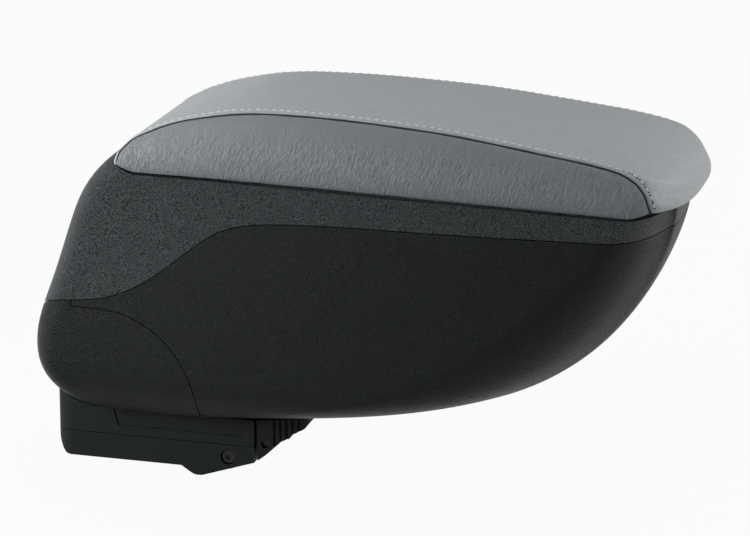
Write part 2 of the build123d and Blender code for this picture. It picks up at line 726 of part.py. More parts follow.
# Lower base shell: the seat on the mount, with a bump under the front
with BuildPart() as base_lower_shell:
    with BuildSketch(Plane.XY.offset(bump_z)):
        add(base_plan(0))
    extrude(amount=base_split - bump_z)
    with BuildSketch(Plane.XZ) as lower_profile:
        with BuildLine():
            Spline((base_rear, base_split), (base_rear + base_heel_x, base_heel_z), (base_rear + base_corner, 0),
                   tangents=[(0, -1), (1, 0)])
            Polyline((base_rear + base_corner, 0), (bump_x - bump_rear_slope, 0), (bump_x, bump_z),
                     (bump_x + bump_length, bump_z), (base_front, base_nose_z), (base_front, base_split),
                     (base_rear, base_split))
        make_face()
        fillet(lower_profile.vertices().group_by(Axis.Y)[0], bump_round)
    extrude(amount=base_half, both=True, mode=Mode.INTERSECT)
    with BuildSketch(Plane.XY.offset(base_wall)):
        add(base_plan(base_wall))
    extrude(amount=base_split, mode=Mode.SUBTRACT)
    with BuildSketch(Plane.XY):
        with GridLocations(bolt_dx, bolt_dy, 2, 2):
            Circle(bolt_pad_radius + base_gap)
    extrude(amount=base_wall, mode=Mode.SUBTRACT)
    with BuildSketch(Plane.XY.offset(base_wall)):
        with Locations(*both_sides(base_screw_x, base_screw_y)):
            Circle(post_radius)
    extrude(amount=base_split - base_wall)
    with BuildSketch(Plane.XY.offset(base_split)):
        with Locations(*both_sides(base_screw_x, base_screw_y)):
            Circle(screw_radius + screw_fit)
    extrude(amount=bump_z - base_split, mode=Mode.SUBTRACT)
    with BuildSketch(Plane.XY.offset(base_screw_seat)):
        with Locations(*both_sides(base_screw_x, base_screw_y)):
            Circle(screw_head_radius + screw_fit)
    extrude(amount=bump_z - base_screw_seat, mode=Mode.SUBTRACT)
    for side in (-1, 1):
        with BuildSketch(Plane.XZ.offset(side * base_half)):
            with Locations((side_screw_x, side_screw_z)):
                Circle(side_boss_radius)
        extrude(amount=-side * side_boss)
        with BuildSketch(Plane.XZ.offset(side * base_half)):
            with Locations((side_screw_x, side_screw_z)):
                Circle(screw_head_radius + screw_fit)
        extrude(amount=-side * side_sink, mode=Mode.SUBTRACT)
        with BuildSketch(Plane.XZ.offset(side * base_half)):
            with Locations((side_screw_x, side_screw_z)):
                Circle(screw_radius + screw_fit)
        extrude(amount=-side * side_boss, mode=Mode.SUBTRACT)
    with BuildSketch(Plane.XZ):
        with Locations((lever_x, lever_z)):
            Circle(lug_radius)
        with BuildLine():
            Polyline((base_front - lug_foot, base_wall), (base_front, base_wall + lug_radius / 2),
                     (lever_x, lever_z - lug_radius), (lever_x, lever_z + lug_radius),
                     (base_front - lug_foot, base_split), close=True)
        make_face()
    extrude(amount=lug_half, both=True)
    with BuildSketch(Plane.XZ):
        with Locations((lever_x, lever_z)):
            Circle(lever_pin_radius + running_fit)
    extrude(amount=lug_half, both=True, mode=Mode.SUBTRACT)
    with BuildSketch(Plane.YZ.offset(base_front)):
        with Locations((spring_y, spring_seat_z)):
            Rectangle(2 * spring_wire, base_split, align=(Align.CENTER, Align.MIN))
    extrude(amount=-2 * base_wall, mode=Mode.SUBTRACT)
base_lower_shell.part.label = "base_lower_shell"
export_step(base_lower_shell.part, "parts/base_lower_shell.step")

# Upper base shell: the cover with the hollow saddle that the heel turns in
with BuildPart() as base_upper_shell:
    with BuildSketch(Plane.XY.offset(base_split + base_gap)):
        add(base_plan(0))
    extrude(amount=saddle_lip_z - base_split - base_gap)
    with BuildSketch(Plane.XZ):
        with Locations((pivot_x, base_top)):
            Rectangle(2 * bow_x, heel_radius, align=(Align.MIN, Align.MIN))
    extrude(amount=base_half, both=True, mode=Mode.SUBTRACT)
    with BuildSketch(Plane.XZ):
        with Locations((pivot_x, pivot_z)):
            Circle(saddle_radius)
    extrude(amount=base_half, both=True, mode=Mode.SUBTRACT)
    with BuildSketch(Plane.XY.offset(base_split)):
        add(base_plan(base_wall))
    extrude(amount=base_top - base_wall - base_split, mode=Mode.SUBTRACT)
    with BuildSketch(Plane.XY.offset(base_split)):
        with Locations((pivot_x, 0)):
            Rectangle(2 * (upright_half + window_gap), 2 * (knuckle_half + window_gap))
    extrude(amount=heel_radius, mode=Mode.SUBTRACT)
    with BuildSketch(Plane.XY.offset(base_split + base_gap)):
        with Locations(*both_sides(base_screw_x, base_screw_y)):
            Circle(post_radius)
    extrude(amount=base_top - base_split - base_gap - base_wall / 2)
    with BuildSketch(Plane.XY.offset(base_split + base_gap)):
        with Locations(*both_sides(base_screw_x, base_screw_y)):
            Circle(screw_radius + screw_fit)
    extrude(amount=base_screw_bite, mode=Mode.SUBTRACT)
    for side in (-1, 1):
        with BuildSketch(Plane.XZ.offset(side * base_half)):
            with BuildLine():
                Polyline((field_x, field_z), (field_x - field_slope, saddle_lip_z),
                         (base_front - field_end, saddle_lip_z), (base_front - field_end, field_z), close=True)
            make_face()
        extrude(amount=-side * field_depth, mode=Mode.SUBTRACT)
    with BuildSketch(Plane.YZ.offset(base_front)):
        with Locations((0, base_split)):
            Rectangle(2 * lever_inner, lever_z + lug_radius + window_gap - base_split,
                      align=(Align.CENTER, Align.MIN))
    extrude(amount=-2 * base_wall, mode=Mode.SUBTRACT)
base_upper_shell.part.label = "base_upper_shell"
export_step(base_upper_shell.part, "parts/base_upper_shell.step")

# Rubber stop that the arm rests on when it is down
with BuildPart() as stop_pad:
    with BuildSketch(Plane.XY.offset(base_top)):
        with Locations(((stop_rear + stop_front) / 2, 0)):
            RectangleRounded(stop_front - stop_rear, 2 * stop_half, stop_corner)
    extrude(amount=keel_z - base_top)
stop_pad.part.label = "stop_pad"
export_step(stop_pad.part, "parts/stop_pad.step")

# Release lever: a ribbed finger grip across the front of the base
with BuildPart() as release_lever:
    with BuildSketch(Plane.XZ):
        with BuildLine():
            Polyline((lever_rear, lever_z), (lever_rear, lever_top_rear), (lever_front, lever_top_front),
                     *lever_under, (lever_rear + lever_foot_gap, lever_foot_z), close=True)
        make_face()
    extrude(amount=lever_half, both=True)
    fillet(release_lever.edges().filter_by(Axis.Z).group_by(Axis.X)[-1], lever_corner)
    with BuildSketch(Plane.XZ):
        with Locations((lever_x, lever_z)):
            Circle(lug_radius + window_gap)
        with Locations((lever_rear - window_gap, lever_z + lug_radius + window_gap)):
            Rectangle(lever_cheek_front - lever_rear, 2 * lever_z, align=(Align.MIN, Align.MAX))
    extrude(amount=lever_inner, both=True, mode=Mode.SUBTRACT)
    with BuildSketch(Plane.XZ):
        with Locations((lever_x, lever_z)):
            Circle(lever_pin_radius + running_fit)
    extrude(amount=lever_half, both=True, mode=Mode.SUBTRACT)
    for side in (-1, 1):
        with BuildSketch(Plane.XZ.offset(side * lever_half)):
            for order in range(rib_count):
                with Locations((lever_rib_x + order * rib_pitch, 0)):
                    Rectangle(rib_cut, 4 * lever_z)
        extrude(amount=-side * rib_depth, mode=Mode.SUBTRACT)
release_lever.part.label = "release_lever"
export_step(release_lever.part, "parts/release_lever.step")

# Lever pin
with BuildPart() as lever_pin:
    with BuildSketch(Plane.XZ):
        with Locations((lever_x, lever_z)):
            Circle(lever_pin_radius)
    extrude(amount=lever_half - 2 * rib_depth, both=True)
lever_pin.part.label = "lever_pin"
export_step(lever_pin.part, "parts/lever_pin.step")

# Lever spring: close coils round the pin, one leg on the lower shell and one under the lever
with BuildPart() as lever_spring:
    for turn in range(spring_turns):
        with BuildSketch(Plane.XY.offset(lever_z)):
            with Locations((lever_x + spring_mean, spring_y + (turn - (spring_turns - 1) / 2) * spring_pitch)):
                Circle(spring_wire / 2)
        revolve(axis=Axis((lever_x, 0, lever_z), (0, 1, 0)))
    with BuildSketch(Plane.YZ.offset(lever_x)):
        with Locations((spring_y, lever_z - spring_mean)):
            Circle(spring_wire / 2)
    extrude(amount=base_front - base_wall - lever_x)
    with BuildSketch(Plane.YZ.offset(lever_x)):
        with Locations((spring_y, lever_z + spring_mean)):
            Circle(spring_wire / 2)
    extrude(amount=lever_cheek_front - lever_x - 2 * window_gap)
lever_spring.part.label = "lever_spring"
export_step(lever_spring.part, "parts/lever_spring.step")


def under_crown(drop):
    """Everything below the cushion's top line, lowered by drop."""
    line = [(x, z - drop) for x, z in crown_line]
    with BuildPart() as zone:
        with BuildSketch(Plane.XZ):
            with BuildLine():
                Spline(*line)
                Polyline(line[-1], (line[-1][0], keel_z), (line[0][0], keel_z), line[0])
            make_face()
        extrude(amount=span, both=True)
    return zone.part


def pad_form(inset):
    """Solid inside the cushion's outline, drawn in by inset, with sides that lean in."""
    with BuildPart() as form:
        for rise in (-rim_drop, cushion_height):
            with BuildSketch(Plane.XY.offset(lid_z + rise)):
                add(pad_plan(inset + pad_lean * rise))
        loft()
    return form.part


# Lid board: the stiff plate under the cushion, with hinge barrels and a closing tongue
with BuildPart() as lid_board:
    with BuildSketch(Plane.XY.offset(board_z)):
        add(pad_plan(board_inset))
    extrude(amount=board)
    for start, end in barrels:
        with BuildSketch(Plane.XZ.offset(-start)):
            with Locations((hinge_x, hinge_z)):
                Circle(knuckle_radius)
            with Locations((hinge_x, board_z)):
                Rectangle(barrel_web, board, align=(Align.MIN, Align.MIN))
        extrude(amount=start - end)
    with BuildSketch(Plane.XY.offset(board_z)):
        with Locations((0, ear_y), (0, -ear_y)):
            Rectangle(hinge_x + knuckle_radius + window_gap, ear_width + 2 * hinge_side_gap,
                      align=(Align.MIN, Align.CENTER))
        with Locations((0, hinge_end_y + front_half / 2), (0, -hinge_end_y - front_half / 2)):
            Rectangle(lip_x + lip_run + window_gap, front_half, align=(Align.MIN, Align.CENTER))
    extrude(amount=2 * board, mode=Mode.SUBTRACT)
    with BuildSketch(Plane.XZ):
        with Locations((hinge_x, hinge_z)):
            Circle(hinge_pin_radius + running_fit)
    extrude(amount=hinge_end_y, both=True, mode=Mode.SUBTRACT)
    with BuildSketch(Plane.XY.offset(board_z)):
        with Locations((tongue_x, 0)):
            Rectangle(tongue, tongue_width)
    extrude(amount=-tongue_depth)
lid_board.part.label = "lid_board"
export_step(lid_board.part, "parts/lid_board.step")

# Hinge pin through ears and barrels
with BuildPart() as hinge_pin:
    with BuildSketch(Plane.XZ):
        with Locations((hinge_x, hinge_z)):
            Circle(hinge_pin_radius)
    extrude(amount=hinge_end_y, both=True)
hinge_pin.part.label = "hinge_pin"
export_step(hinge_pin.part, "parts/hinge_pin.step")

# Room for the hinge inside the cushion's rear end
with BuildPart() as hinge_room:
    with BuildSketch(Plane.XZ):
        with Locations((hinge_x, hinge_z)):
            Circle(knuckle_radius + hinge_room_gap)
            Rectangle(2 * hinge_x, knuckle_radius + hinge_room_gap, align=(Align.MAX, Align.MAX))
            Rectangle(2 * hinge_x, hinge_roof, align=(Align.MAX, Align.MIN))
    extrude(amount=hinge_end_y + hinge_side_gap, both=True)

# Room for the frame's rim and its raised rear lip under the cushion
with BuildPart() as rim_room:
    with BuildSketch(Plane.XZ):
        with BuildLine():
            Polyline((heel_x, keel_z), (heel_x, lip_z + lid_gap), (lip_x, lip_z + lid_gap), (lip_x + lip_run, lid_z),
                     (rim_drop_x, lid_z), (rim_end_x, rim_end_z + lid_gap), (rim_end_x, keel_z), close=True)
        make_face()
    extrude(amount=span, both=True)

# Cushion core: the inside of the covers
with BuildPart() as cushion_core:
    add(pad_form(cover))
    add(under_crown(cover), mode=Mode.INTERSECT)

# Cushion foam on the lid board
with BuildPart() as cushion_foam:
    add(cushion_core.part)
    with BuildSketch(Plane.XY.offset(lid_z - rim_drop)):
        add(pad_plan(0))
    extrude(amount=board_z + board - lid_z + rim_drop, mode=Mode.SUBTRACT)
    add(hinge_room.part, mode=Mode.SUBTRACT)
cushion_foam.part.label = "cushion_foam"
export_step(cushion_foam.part, "parts/cushion_foam.step")

# Skin of the cushion, all covers together
with BuildPart() as cushion_skin:
    add(pad_form(0))
    add(under_crown(0), mode=Mode.INTERSECT)
    add(cushion_core.part, mode=Mode.SUBTRACT)
    add(hinge_room.part, mode=Mode.SUBTRACT)
    add(rim_room.part, mode=Mode.SUBTRACT)

# Side of the skin between the seam ends, outside the top panel
with BuildPart() as side_zone:
    with BuildSketch(Plane.XY.offset(keel_z)):
        with Locations((seam_rear_x, 0)):
            Rectangle(seam_front_x - seam_rear_x, 2 * span, align=(Align.MIN, Align.CENTER))
            Rectangle(seam_front_x - seam_rear_x, 2 * top_panel_half, align=(Align.MIN, Align.CENTER),
                      mode=Mode.SUBTRACT)
    extrude(amount=rim_z + cushion_height)
    add(pad_form(cover), mode=Mode.SUBTRACT)

# Top cover, from the rear seam over the nose
with BuildPart() as cushion_top_cover:
    add(cushion_skin.part)
    add(side_zone.part, mode=Mode.SUBTRACT)
cushion_top_cover.part.label = "cushion_top_cover"
export_step(cushion_top_cover.part, "parts/cushion_top_cover.step")

# Left and right side covers
with BuildPart() as cushion_side_cover_left:
    add(cushion_skin.part)
    add(side_zone.part, mode=Mode.INTERSECT)
    split(bisect_by=Plane.XZ, keep=Keep.BOTTOM)
cushion_side_cover_left.part.label = "cushion_side_cover_left"
export_step(cushion_side_cover_left.part, "parts/cushion_side_cover_left.step")

with BuildPart() as cushion_side_cover_right:
    add(cushion_skin.part)
    add(side_zone.part, mode=Mode.INTERSECT)
    split(bisect_by=Plane.XZ, keep=Keep.TOP)
cushion_side_cover_right.part.label = "cushion_side_cover_right"
export_step(cushion_side_cover_right.part, "parts/cushion_side_cover_right.step")

# Screws from above: upper frame to casing posts, frame shelf to casing roof
frame_screw = screw(screw_length)
with BuildPart() as frame_screws:
    with Locations(*[(x, y, rim_z - screw_sink) for x, y in frame_screw_places]):
        add(frame_screw)
    with Locations(*[(x, y, shelf_z + flange) for x, y in both_sides(*shelf_screw)]):
        add(frame_screw)
frame_screws.part.label = "frame_screws"
export_step(frame_screws.part, "parts/frame_screws.step")

# Screws from the storage bowl through the bulkhead into the rear housing
with BuildPart() as bulkhead_screws:
    with Locations(*[(x, y, roof_seat_z) for x, y in both_sides(*roof_screw)]):
        add(frame_screw)
    for y in (rib_y, -rib_y):
        with Locations(Plane((wall_x, y, front_screw_z), z_dir=(1, 0, 0))):
            add(frame_screw)
bulkhead_screws.part.label = "bulkhead_screws"
export_step(bulkhead_screws.part, "parts/bulkhead_screws.step")

# Screws of the axle clamps
with BuildPart() as clamp_screws:
    with Locations(*[(x, y, pivot_z + clamp_gap + clamp_height) for x, y in clamp_screw_places]):
        add(screw(clamp_height + clamp_gap + screw_length - screw_relief))
clamp_screws.part.label = "clamp_screws"
export_step(clamp_screws.part, "parts/clamp_screws.step")

# Screws that hold the base shells together, from below
with BuildPart() as base_screws:
    for x, y in both_sides(base_screw_x, base_screw_y):
        with Locations(Plane((x, y, base_screw_seat), z_dir=(0, 0, -1))):
            add(screw(base_split + base_gap + base_screw_bite - base_screw_seat - screw_relief))
base_screws.part.label = "base_screws"
export_step(base_screws.part, "parts/base_screws.step")

# Screws in the sides of the base
with BuildPart() as side_screws:
    for side in (-1, 1):
        with Locations(Plane((side_screw_x, side * (base_half - side_sink), side_screw_z), z_dir=(0, side, 0))):
            add(screw(side_boss - side_sink - screw_relief))
side_screws.part.label = "side_screws"
export_step(side_screws.part, "parts/side_screws.step")
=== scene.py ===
import math
import random

import bmesh
import bpy
import numpy as np
from mathutils import Matrix, Vector, noise
from mathutils.bvhtree import BVHTree


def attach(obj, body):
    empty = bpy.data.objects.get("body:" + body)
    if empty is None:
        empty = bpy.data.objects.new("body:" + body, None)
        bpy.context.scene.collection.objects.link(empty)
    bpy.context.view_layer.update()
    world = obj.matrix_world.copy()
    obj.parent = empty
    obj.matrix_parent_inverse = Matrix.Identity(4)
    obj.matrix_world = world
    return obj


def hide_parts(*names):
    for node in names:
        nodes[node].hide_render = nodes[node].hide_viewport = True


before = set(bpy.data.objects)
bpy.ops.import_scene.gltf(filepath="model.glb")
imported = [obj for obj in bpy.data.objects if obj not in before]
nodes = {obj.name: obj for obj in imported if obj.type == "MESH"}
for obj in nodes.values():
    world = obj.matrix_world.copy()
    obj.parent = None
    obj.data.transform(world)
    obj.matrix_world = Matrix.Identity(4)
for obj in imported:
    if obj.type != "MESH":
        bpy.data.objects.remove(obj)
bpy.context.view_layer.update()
scene = bpy.context.scene
MM = 0.001

# Camera: the photograph's viewing angle, lengths in metres
AZIMUTH = math.radians(15.0)
ELEVATION = math.radians(16.5)
ROLL = math.radians(0.3)
DISTANCE = 1.6
TARGET = Vector((0.126, 0.0, 0.1065))
SENSOR_MM = 36.0
LENS_MM = 153.6

# Plan outline of the cushion, in millimetres in the CAD frame
PAD_REAR = 2.9
PAD_FRONT = 290.0
REAR_RUN = 5.0
REAR_POWER = 2.6
NOSE_RUN = 30.0
NOSE_POWER = 2.7
HALF_AT_ZERO = 47.917
WIDENING = 0.04718
COLUMNS = 420
TURN_SAMPLES = 160
SIDE_SAMPLES = 400
# Columns stand closer together around the front turn of the seam
DENSE_X = 270.0
DENSE_RUN = 12.0
DENSE_GAIN = 0.9

# Lower edge of the cushion
LID_Z = 160.0
EDGE_RISE = 0.1
LIP_X = 7.5
LIP_RISE = 2.6
LIP_RUN = 9.0
DROP_X = 60.0
DROP = 0.00903
NOSE_RISE = 3.4
NOSE_RISE_X = 263.0
NOSE_RISE_RUN = 13.0

# Skirt under the edge and the recess that takes the lid board
SKIRT = 2.0
SKIRT_ROLL = 0.6
SKIRT_STEP = 0.3
RECESS_INSET = 3.2
RECESS_RISE = 3.4
RECESS_HINGE = 2.2
RECESS_HINGE_X = 20.0
RECESS_HINGE_RUN = 6.0
UNDER_RINGS = 6

# Padded side
LEAST_HEIGHT = 0.6
FULL_HEIGHT = 34.0
LEAST_PADDING = 0.15
SIDE_LEAN = 0.21
SIDE_BULGE = 3.0
EDGE_TUCK = 1.4
TUCK_POWER = 8

# Corner between side and top
CORNER_RADIUS = 3.2
REAR_RADIUS = 1.8
REAR_RADIUS_X = (12.0, 72.0)
NOSE_RADIUS = 5.5
NOSE_RADIUS_X = 258.0
RADIUS_SHARE = 0.75
CORNER_START = math.radians(26.0)
CORNER_END = math.radians(82.0)
CORNER_RINGS = 14
CORNER_FADE = 4

# Crowned top and the spine where its rings close
CROWN = 2.8
CROWN_REAR_RUN = 70.0
CROWN_FRONT_RUN = 70.0
SPINE_REAR = 48.0
SPINE_FRONT = 58.0

# Places of the rings on the side and on the top, denser along their edges
WALL_SHARES = np.concatenate((np.linspace(0, 0.12, 5), np.linspace(0.12, 0.88, 24)[1:],
                              np.linspace(0.88, 1, 12)[1:]))
TOP_SHARES = np.concatenate((np.linspace(0, 0.12, 7)[1:], np.linspace(0.12, 1.0, 24)[1:]))

# Height of the corner between side and top, along X
CORNER_LINE = (
    (2.9, 164.2), (5.0, 167.2), (7.3, 169.4), (13.1, 175.2), (22.9, 181.0), (37.5, 186.9),
    (52.3, 190.8), (66.9, 193.6), (78.7, 194.7), (96.3, 195.2), (120.6, 195.0), (150.5, 193.7),
    (175.9, 192.0), (200.7, 189.2), (225.2, 186.1), (249.6, 182.6), (262.0, 179.9),
    (275.0, 175.9), (282.0, 172.6), (287.0, 169.0), (290.0, 166.0),
)
# Height of the seam between side panel and top panel, along X
SEAM_LINE = (
    (7.2, 162.8), (7.3, 164.5), (8.0, 167.8), (9.9, 171.2), (13.1, 174.6), (22.9, 180.2),
    (37.5, 185.9), (52.3, 189.3), (66.9, 191.8), (78.7, 192.9), (96.3, 193.4), (120.6, 193.2),
    (150.5, 191.9), (175.9, 190.2), (200.7, 187.4), (225.2, 184.3), (249.6, 181.0),
    (257.0, 179.5), (264.5, 176.6), (269.3, 173.0), (272.8, 167.2), (274.4, 161.4),
)
CURVE_STEP = 0.25

# Groove of the seam, the padding beside it and the dark tube in it that paints the groove's shade
SEAM_STEP = 0.5
GROOVE_DEPTH = 0.9
GROOVE_WIDTH = 0.62
SEAM_PUFF = 0.22
SEAM_PUFF_AT = 4.0
SEAM_PUFF_WIDTH = 2.6
SEAM_SHADE_RADIUS = 0.48
SEAM_SHADE_SINK = 0.5
SHADE_TUBE_SIDES = 8

# Folds of the side panels, calm near the seam and the lower edge
FOLD_DEPTH = 0.12
FOLD_PITCH = (4.0, 6.0, 13.0)
FOLD_SLANT = 0.28
FOLD_CALM_SEAM = 9.0
FOLD_CALM_EDGE = 3.0

# Stitches and the pricked holes at the front turn
STITCH_OFFSET = 2.8
STITCH_FROM_X = 24.0
STITCH_SAMPLES_LEFT = 3
STITCH_PITCH = 3.85
STITCH_LENGTH = 2.7
STITCH_RADIUS = 0.33
STITCH_GIRTH = (0.35, 0.65)
STITCH_RISE = 0.2
STITCH_LIFT = 0.17
STITCH_SINK = 0.2
STITCH_WANDER = 0.06
STITCH_SEED = 7
STITCH_SIDES = 8
STITCH_ROWS = 7
HOLE_FROM_X = 258.0
HOLE_RADIUS = 0.5
HOLE_SIDES = 10
HOLE_RINGS = ((1.0, -0.1), (0.8, 0.06))

# Points handled at a time, and the reach of welding
CHUNK = 4000
WELD = 0.002


def smooth_curve(points):
    """A smooth line through points as fine samples: cubic pieces with weighted slopes."""
    x = np.array([p[0] for p in points])
    z = np.array([p[1] for p in points])
    step = np.diff(x)
    slope = np.diff(z) / step
    tangent = np.zeros(len(x))
    tangent[1:-1] = (slope[:-1] * step[1:] + slope[1:] * step[:-1]) / (step[1:] + step[:-1])
    tangent[0] = slope[0]
    tangent[-1] = slope[-1]
    xs = np.arange(x[0], x[-1] + CURVE_STEP / 2, CURVE_STEP)
    i = np.clip(np.searchsorted(x, xs) - 1, 0, len(step) - 1)
    t = (xs - x[i]) / step[i]
    zs = ((2 * t**3 - 3 * t**2 + 1) * z[i] + (t**3 - 2 * t**2 + t) * step[i] * tangent[i]
          + (3 * t**2 - 2 * t**3) * z[i + 1] + (t**3 - t**2) * step[i] * tangent[i + 1])
    return xs, zs


corner_xs, corner_zs = smooth_curve(CORNER_LINE)
seam_xs, seam_zs = smooth_curve(SEAM_LINE)


def ease(t):
    t = np.clip(t, 0, 1)
    return t * t * (3 - 2 * t)


def corner_z(x):
    return np.interp(x, corner_xs, corner_zs)


def low_z(x):
    """Lower edge of the cushion: raised over the rear lip, lower forward, up again at the nose."""
    rear = LIP_RISE * (1 - ease((x - LIP_X) / LIP_RUN))
    nose = NOSE_RISE * ease((x - NOSE_RISE_X) / NOSE_RISE_RUN)
    return LID_Z + EDGE_RISE + rear + nose - DROP * np.maximum(x - DROP_X, 0)


def corner_radius(x, height):
    """Radius of the corner between side and top: larger round the nose, smaller at the rear."""
    nose = ease((x - NOSE_RADIUS_X) / (PAD_FRONT - NOSE_RADIUS_X))
    rear = 1 - ease((x - REAR_RADIUS_X[0]) / (REAR_RADIUS_X[1] - REAR_RADIUS_X[0]))
    radius = CORNER_RADIUS + (NOSE_RADIUS - CORNER_RADIUS) * nose
    radius = radius + (REAR_RADIUS - CORNER_RADIUS) * rear
    return np.minimum(radius, RADIUS_SHARE * height)


def half_width(x):
    return HALF_AT_ZERO + WIDENING * x


def plan_half():
    """The right half of the plan outline, from the rear tip to the nose tip."""
    turns = np.linspace(0, math.pi / 2, TURN_SAMPLES)
    rear_x = PAD_REAR + REAR_RUN * (1 - np.maximum(np.cos(turns), 0) ** (2 / REAR_POWER))
    rear_y = -half_width(rear_x) * np.sin(turns) ** (2 / REAR_POWER)
    nose_x = PAD_FRONT - NOSE_RUN * (1 - np.maximum(np.cos(turns), 0) ** (2 / NOSE_POWER))
    nose_y = -half_width(nose_x) * np.sin(turns) ** (2 / NOSE_POWER)
    side_x = np.linspace(rear_x[-1], nose_x[-1], SIDE_SAMPLES)[1:-1]
    x = np.concatenate((rear_x, side_x, nose_x[::-1]))
    y = np.concatenate((rear_y, -half_width(side_x), nose_y[::-1]))
    along = np.concatenate(([0], np.cumsum(np.hypot(np.diff(x), np.diff(y)))))
    weight = 1.0 + DENSE_GAIN * np.exp(-(((x - DENSE_X) / DENSE_RUN) ** 2))
    dense = np.concatenate(([0], np.cumsum(np.diff(along) * (weight[1:] + weight[:-1]) / 2)))
    want = np.linspace(0, dense[-1], COLUMNS)
    return np.interp(want, dense, x), np.interp(want, dense, y)


def wall_inset(u, height):
    """How far the side leans in at share u of its height: padded, rolled in at the lower edge."""
    share = np.clip(height / FULL_HEIGHT, LEAST_PADDING, 1.0)
    lean = SIDE_LEAN * height * u**2
    bulge = SIDE_BULGE * share * np.sin(math.pi * u)
    return lean - bulge + EDGE_TUCK * share * (1 - u) ** TUCK_POWER


def cushion_grid():
    """Points of the cushion as rings around the plan, from the recess below to the spine on top."""
    half_x, half_y = plan_half()
    x = np.concatenate((half_x, half_x[-2:0:-1]))
    y = np.concatenate((half_y, -half_y[-2:0:-1]))
    tangent_x = np.roll(x, -1) - np.roll(x, 1)
    tangent_y = np.roll(y, -1) - np.roll(y, 1)
    length = np.hypot(tangent_x, tangent_y)
    in_x = -tangent_y / length
    in_y = tangent_x / length
    low = low_z(x)
    height = np.maximum(corner_z(x) - low, LEAST_HEIGHT)
    radius = corner_radius(x, height)
    spine_x = np.clip(x, PAD_REAR + SPINE_REAR, PAD_FRONT - SPINE_FRONT)
    rings = []

    def ring(inset, z):
        rings.append(np.column_stack((x + in_x * inset, y + in_y * inset, z)))

    def top_of(inset):
        return np.maximum(corner_z(x + in_x * inset), low + LEAST_HEIGHT) - radius

    hinge_room = np.clip((RECESS_HINGE_X - x) / RECESS_HINGE_RUN, 0, 1)
    roof = LID_Z + RECESS_RISE + RECESS_HINGE * hinge_room
    for share in (0.0, 0.5):
        inset_x = spine_x + (x + in_x * RECESS_INSET - spine_x) * share
        rings.append(np.column_stack((inset_x, (y + in_y * RECESS_INSET) * share, roof)))
    ring(RECESS_INSET, roof)
    ring(RECESS_INSET, low + DROP * np.maximum(x - DROP_X, 0) + SKIRT_STEP)
    ring(SKIRT, low + SKIRT_STEP)
    ring(SKIRT - SKIRT_ROLL, low)
    for u in WALL_SHARES:
        inset = wall_inset(u, height)
        ring(inset, low + u * (top_of(inset) + radius * math.sin(CORNER_START) - low))
    end = wall_inset(1.0, height)
    for turn in np.linspace(CORNER_START, CORNER_END, CORNER_RINGS)[1:]:
        inset = end + radius * (math.cos(CORNER_START) - math.cos(turn))
        ring(inset, top_of(inset) + radius * math.sin(turn))
    last = rings[-1]
    for v in TOP_SHARES:
        px = last[:, 0] + (spine_x - last[:, 0]) * v
        py = last[:, 1] * (1 - v)
        ends = ease((px - PAD_REAR) / CROWN_REAR_RUN) * ease((PAD_FRONT - px) / CROWN_FRONT_RUN)
        z = corner_z(px) - radius * (1 - math.sin(CORNER_END)) * (1 - v) ** CORNER_FADE
        rings.append(np.column_stack((px, py, z + CROWN * ends * (1 - (1 - v) ** 2))))
    return np.array(rings)


def surface_point(x, z, half_x, half_y):
    """The point of the cushion's right side at x and height z."""
    y = np.interp(x, half_x, half_y)
    low = low_z(x)
    height = max(corner_z(x) - low, LEAST_HEIGHT)
    radius = corner_radius(x, height)
    wall_top = low + height - radius * (1 - math.sin(CORNER_START))
    if z > wall_top:
        turn = math.asin(min((z - low - height + radius) / radius, 1.0))
        inset = wall_inset(1.0, height) + radius * (math.cos(CORNER_START) - math.cos(turn))
    else:
        inset = wall_inset(max((z - low) / (wall_top - low), 0.0), height)
    return (x, y + inset, z)


def seam_path():
    """Points along the right seam, evenly spaced."""
    half_x, half_y = plan_half()
    points = np.array([surface_point(x, z, half_x, half_y) for x, z in zip(seam_xs, seam_zs)])
    steps = np.linalg.norm(np.diff(points, axis=0), axis=1)
    along = np.concatenate(([0], np.cumsum(steps)))
    want = np.arange(0, along[-1], SEAM_STEP)
    return np.column_stack([np.interp(want, along, points[:, i]) for i in range(3)])


def link(name, verts, faces):
    """A smooth-shaded piece in the scene."""
    mesh = bpy.data.meshes.new(name)
    mesh.from_pydata([tuple(v) for v in verts], [], faces)
    mesh.update()
    piece = bpy.data.objects.new(name, mesh)
    scene.collection.objects.link(piece)
    for face in mesh.polygons:
        face.use_smooth = True
    return piece


def side_folds(points):
    """Shallow upright folds of the side panels, slanted a little, between -1 and 1."""
    folds = np.empty(len(points))
    for i, (x, y, z) in enumerate(points):
        slanted = x - FOLD_SLANT * (z - LID_Z)
        at = Vector((slanted / FOLD_PITCH[0], y / FOLD_PITCH[1], z / FOLD_PITCH[2]))
        folds[i] = noise.noise(at)
    return folds


def seam_distance(points, seam):
    """Distance of each point from the nearer of the two seams."""
    mirrored = points.copy()
    mirrored[:, 1] = -np.abs(mirrored[:, 1])
    distance = np.empty(len(points))
    for start in range(0, len(points), CHUNK):
        part = mirrored[start:start + CHUNK]
        gaps = np.linalg.norm(part[:, None, :] - seam[None, ::2, :], axis=2)
        distance[start:start + CHUNK] = gaps.min(axis=1)
    return distance


def grid_normals(grid):
    """Unit normals of the grid's points."""
    around = np.roll(grid, -1, axis=1) - np.roll(grid, 1, axis=1)
    upward = np.zeros_like(grid)
    upward[1:-1] = grid[2:] - grid[:-2]
    upward[0] = grid[1] - grid[0]
    upward[-1] = grid[-1] - grid[-2]
    normal = np.cross(around, upward).reshape(-1, 3)
    return normal / np.maximum(np.linalg.norm(normal, axis=1), 1e-9)[:, None]


def grid_faces(rings, columns):
    """Four-sided faces between neighbouring rings."""
    faces = []
    for r in range(rings - 1):
        row = r * columns
        for c in range(columns):
            d = (c + 1) % columns
            faces.append((row + c, row + d, row + columns + d, row + columns + c))
    return faces


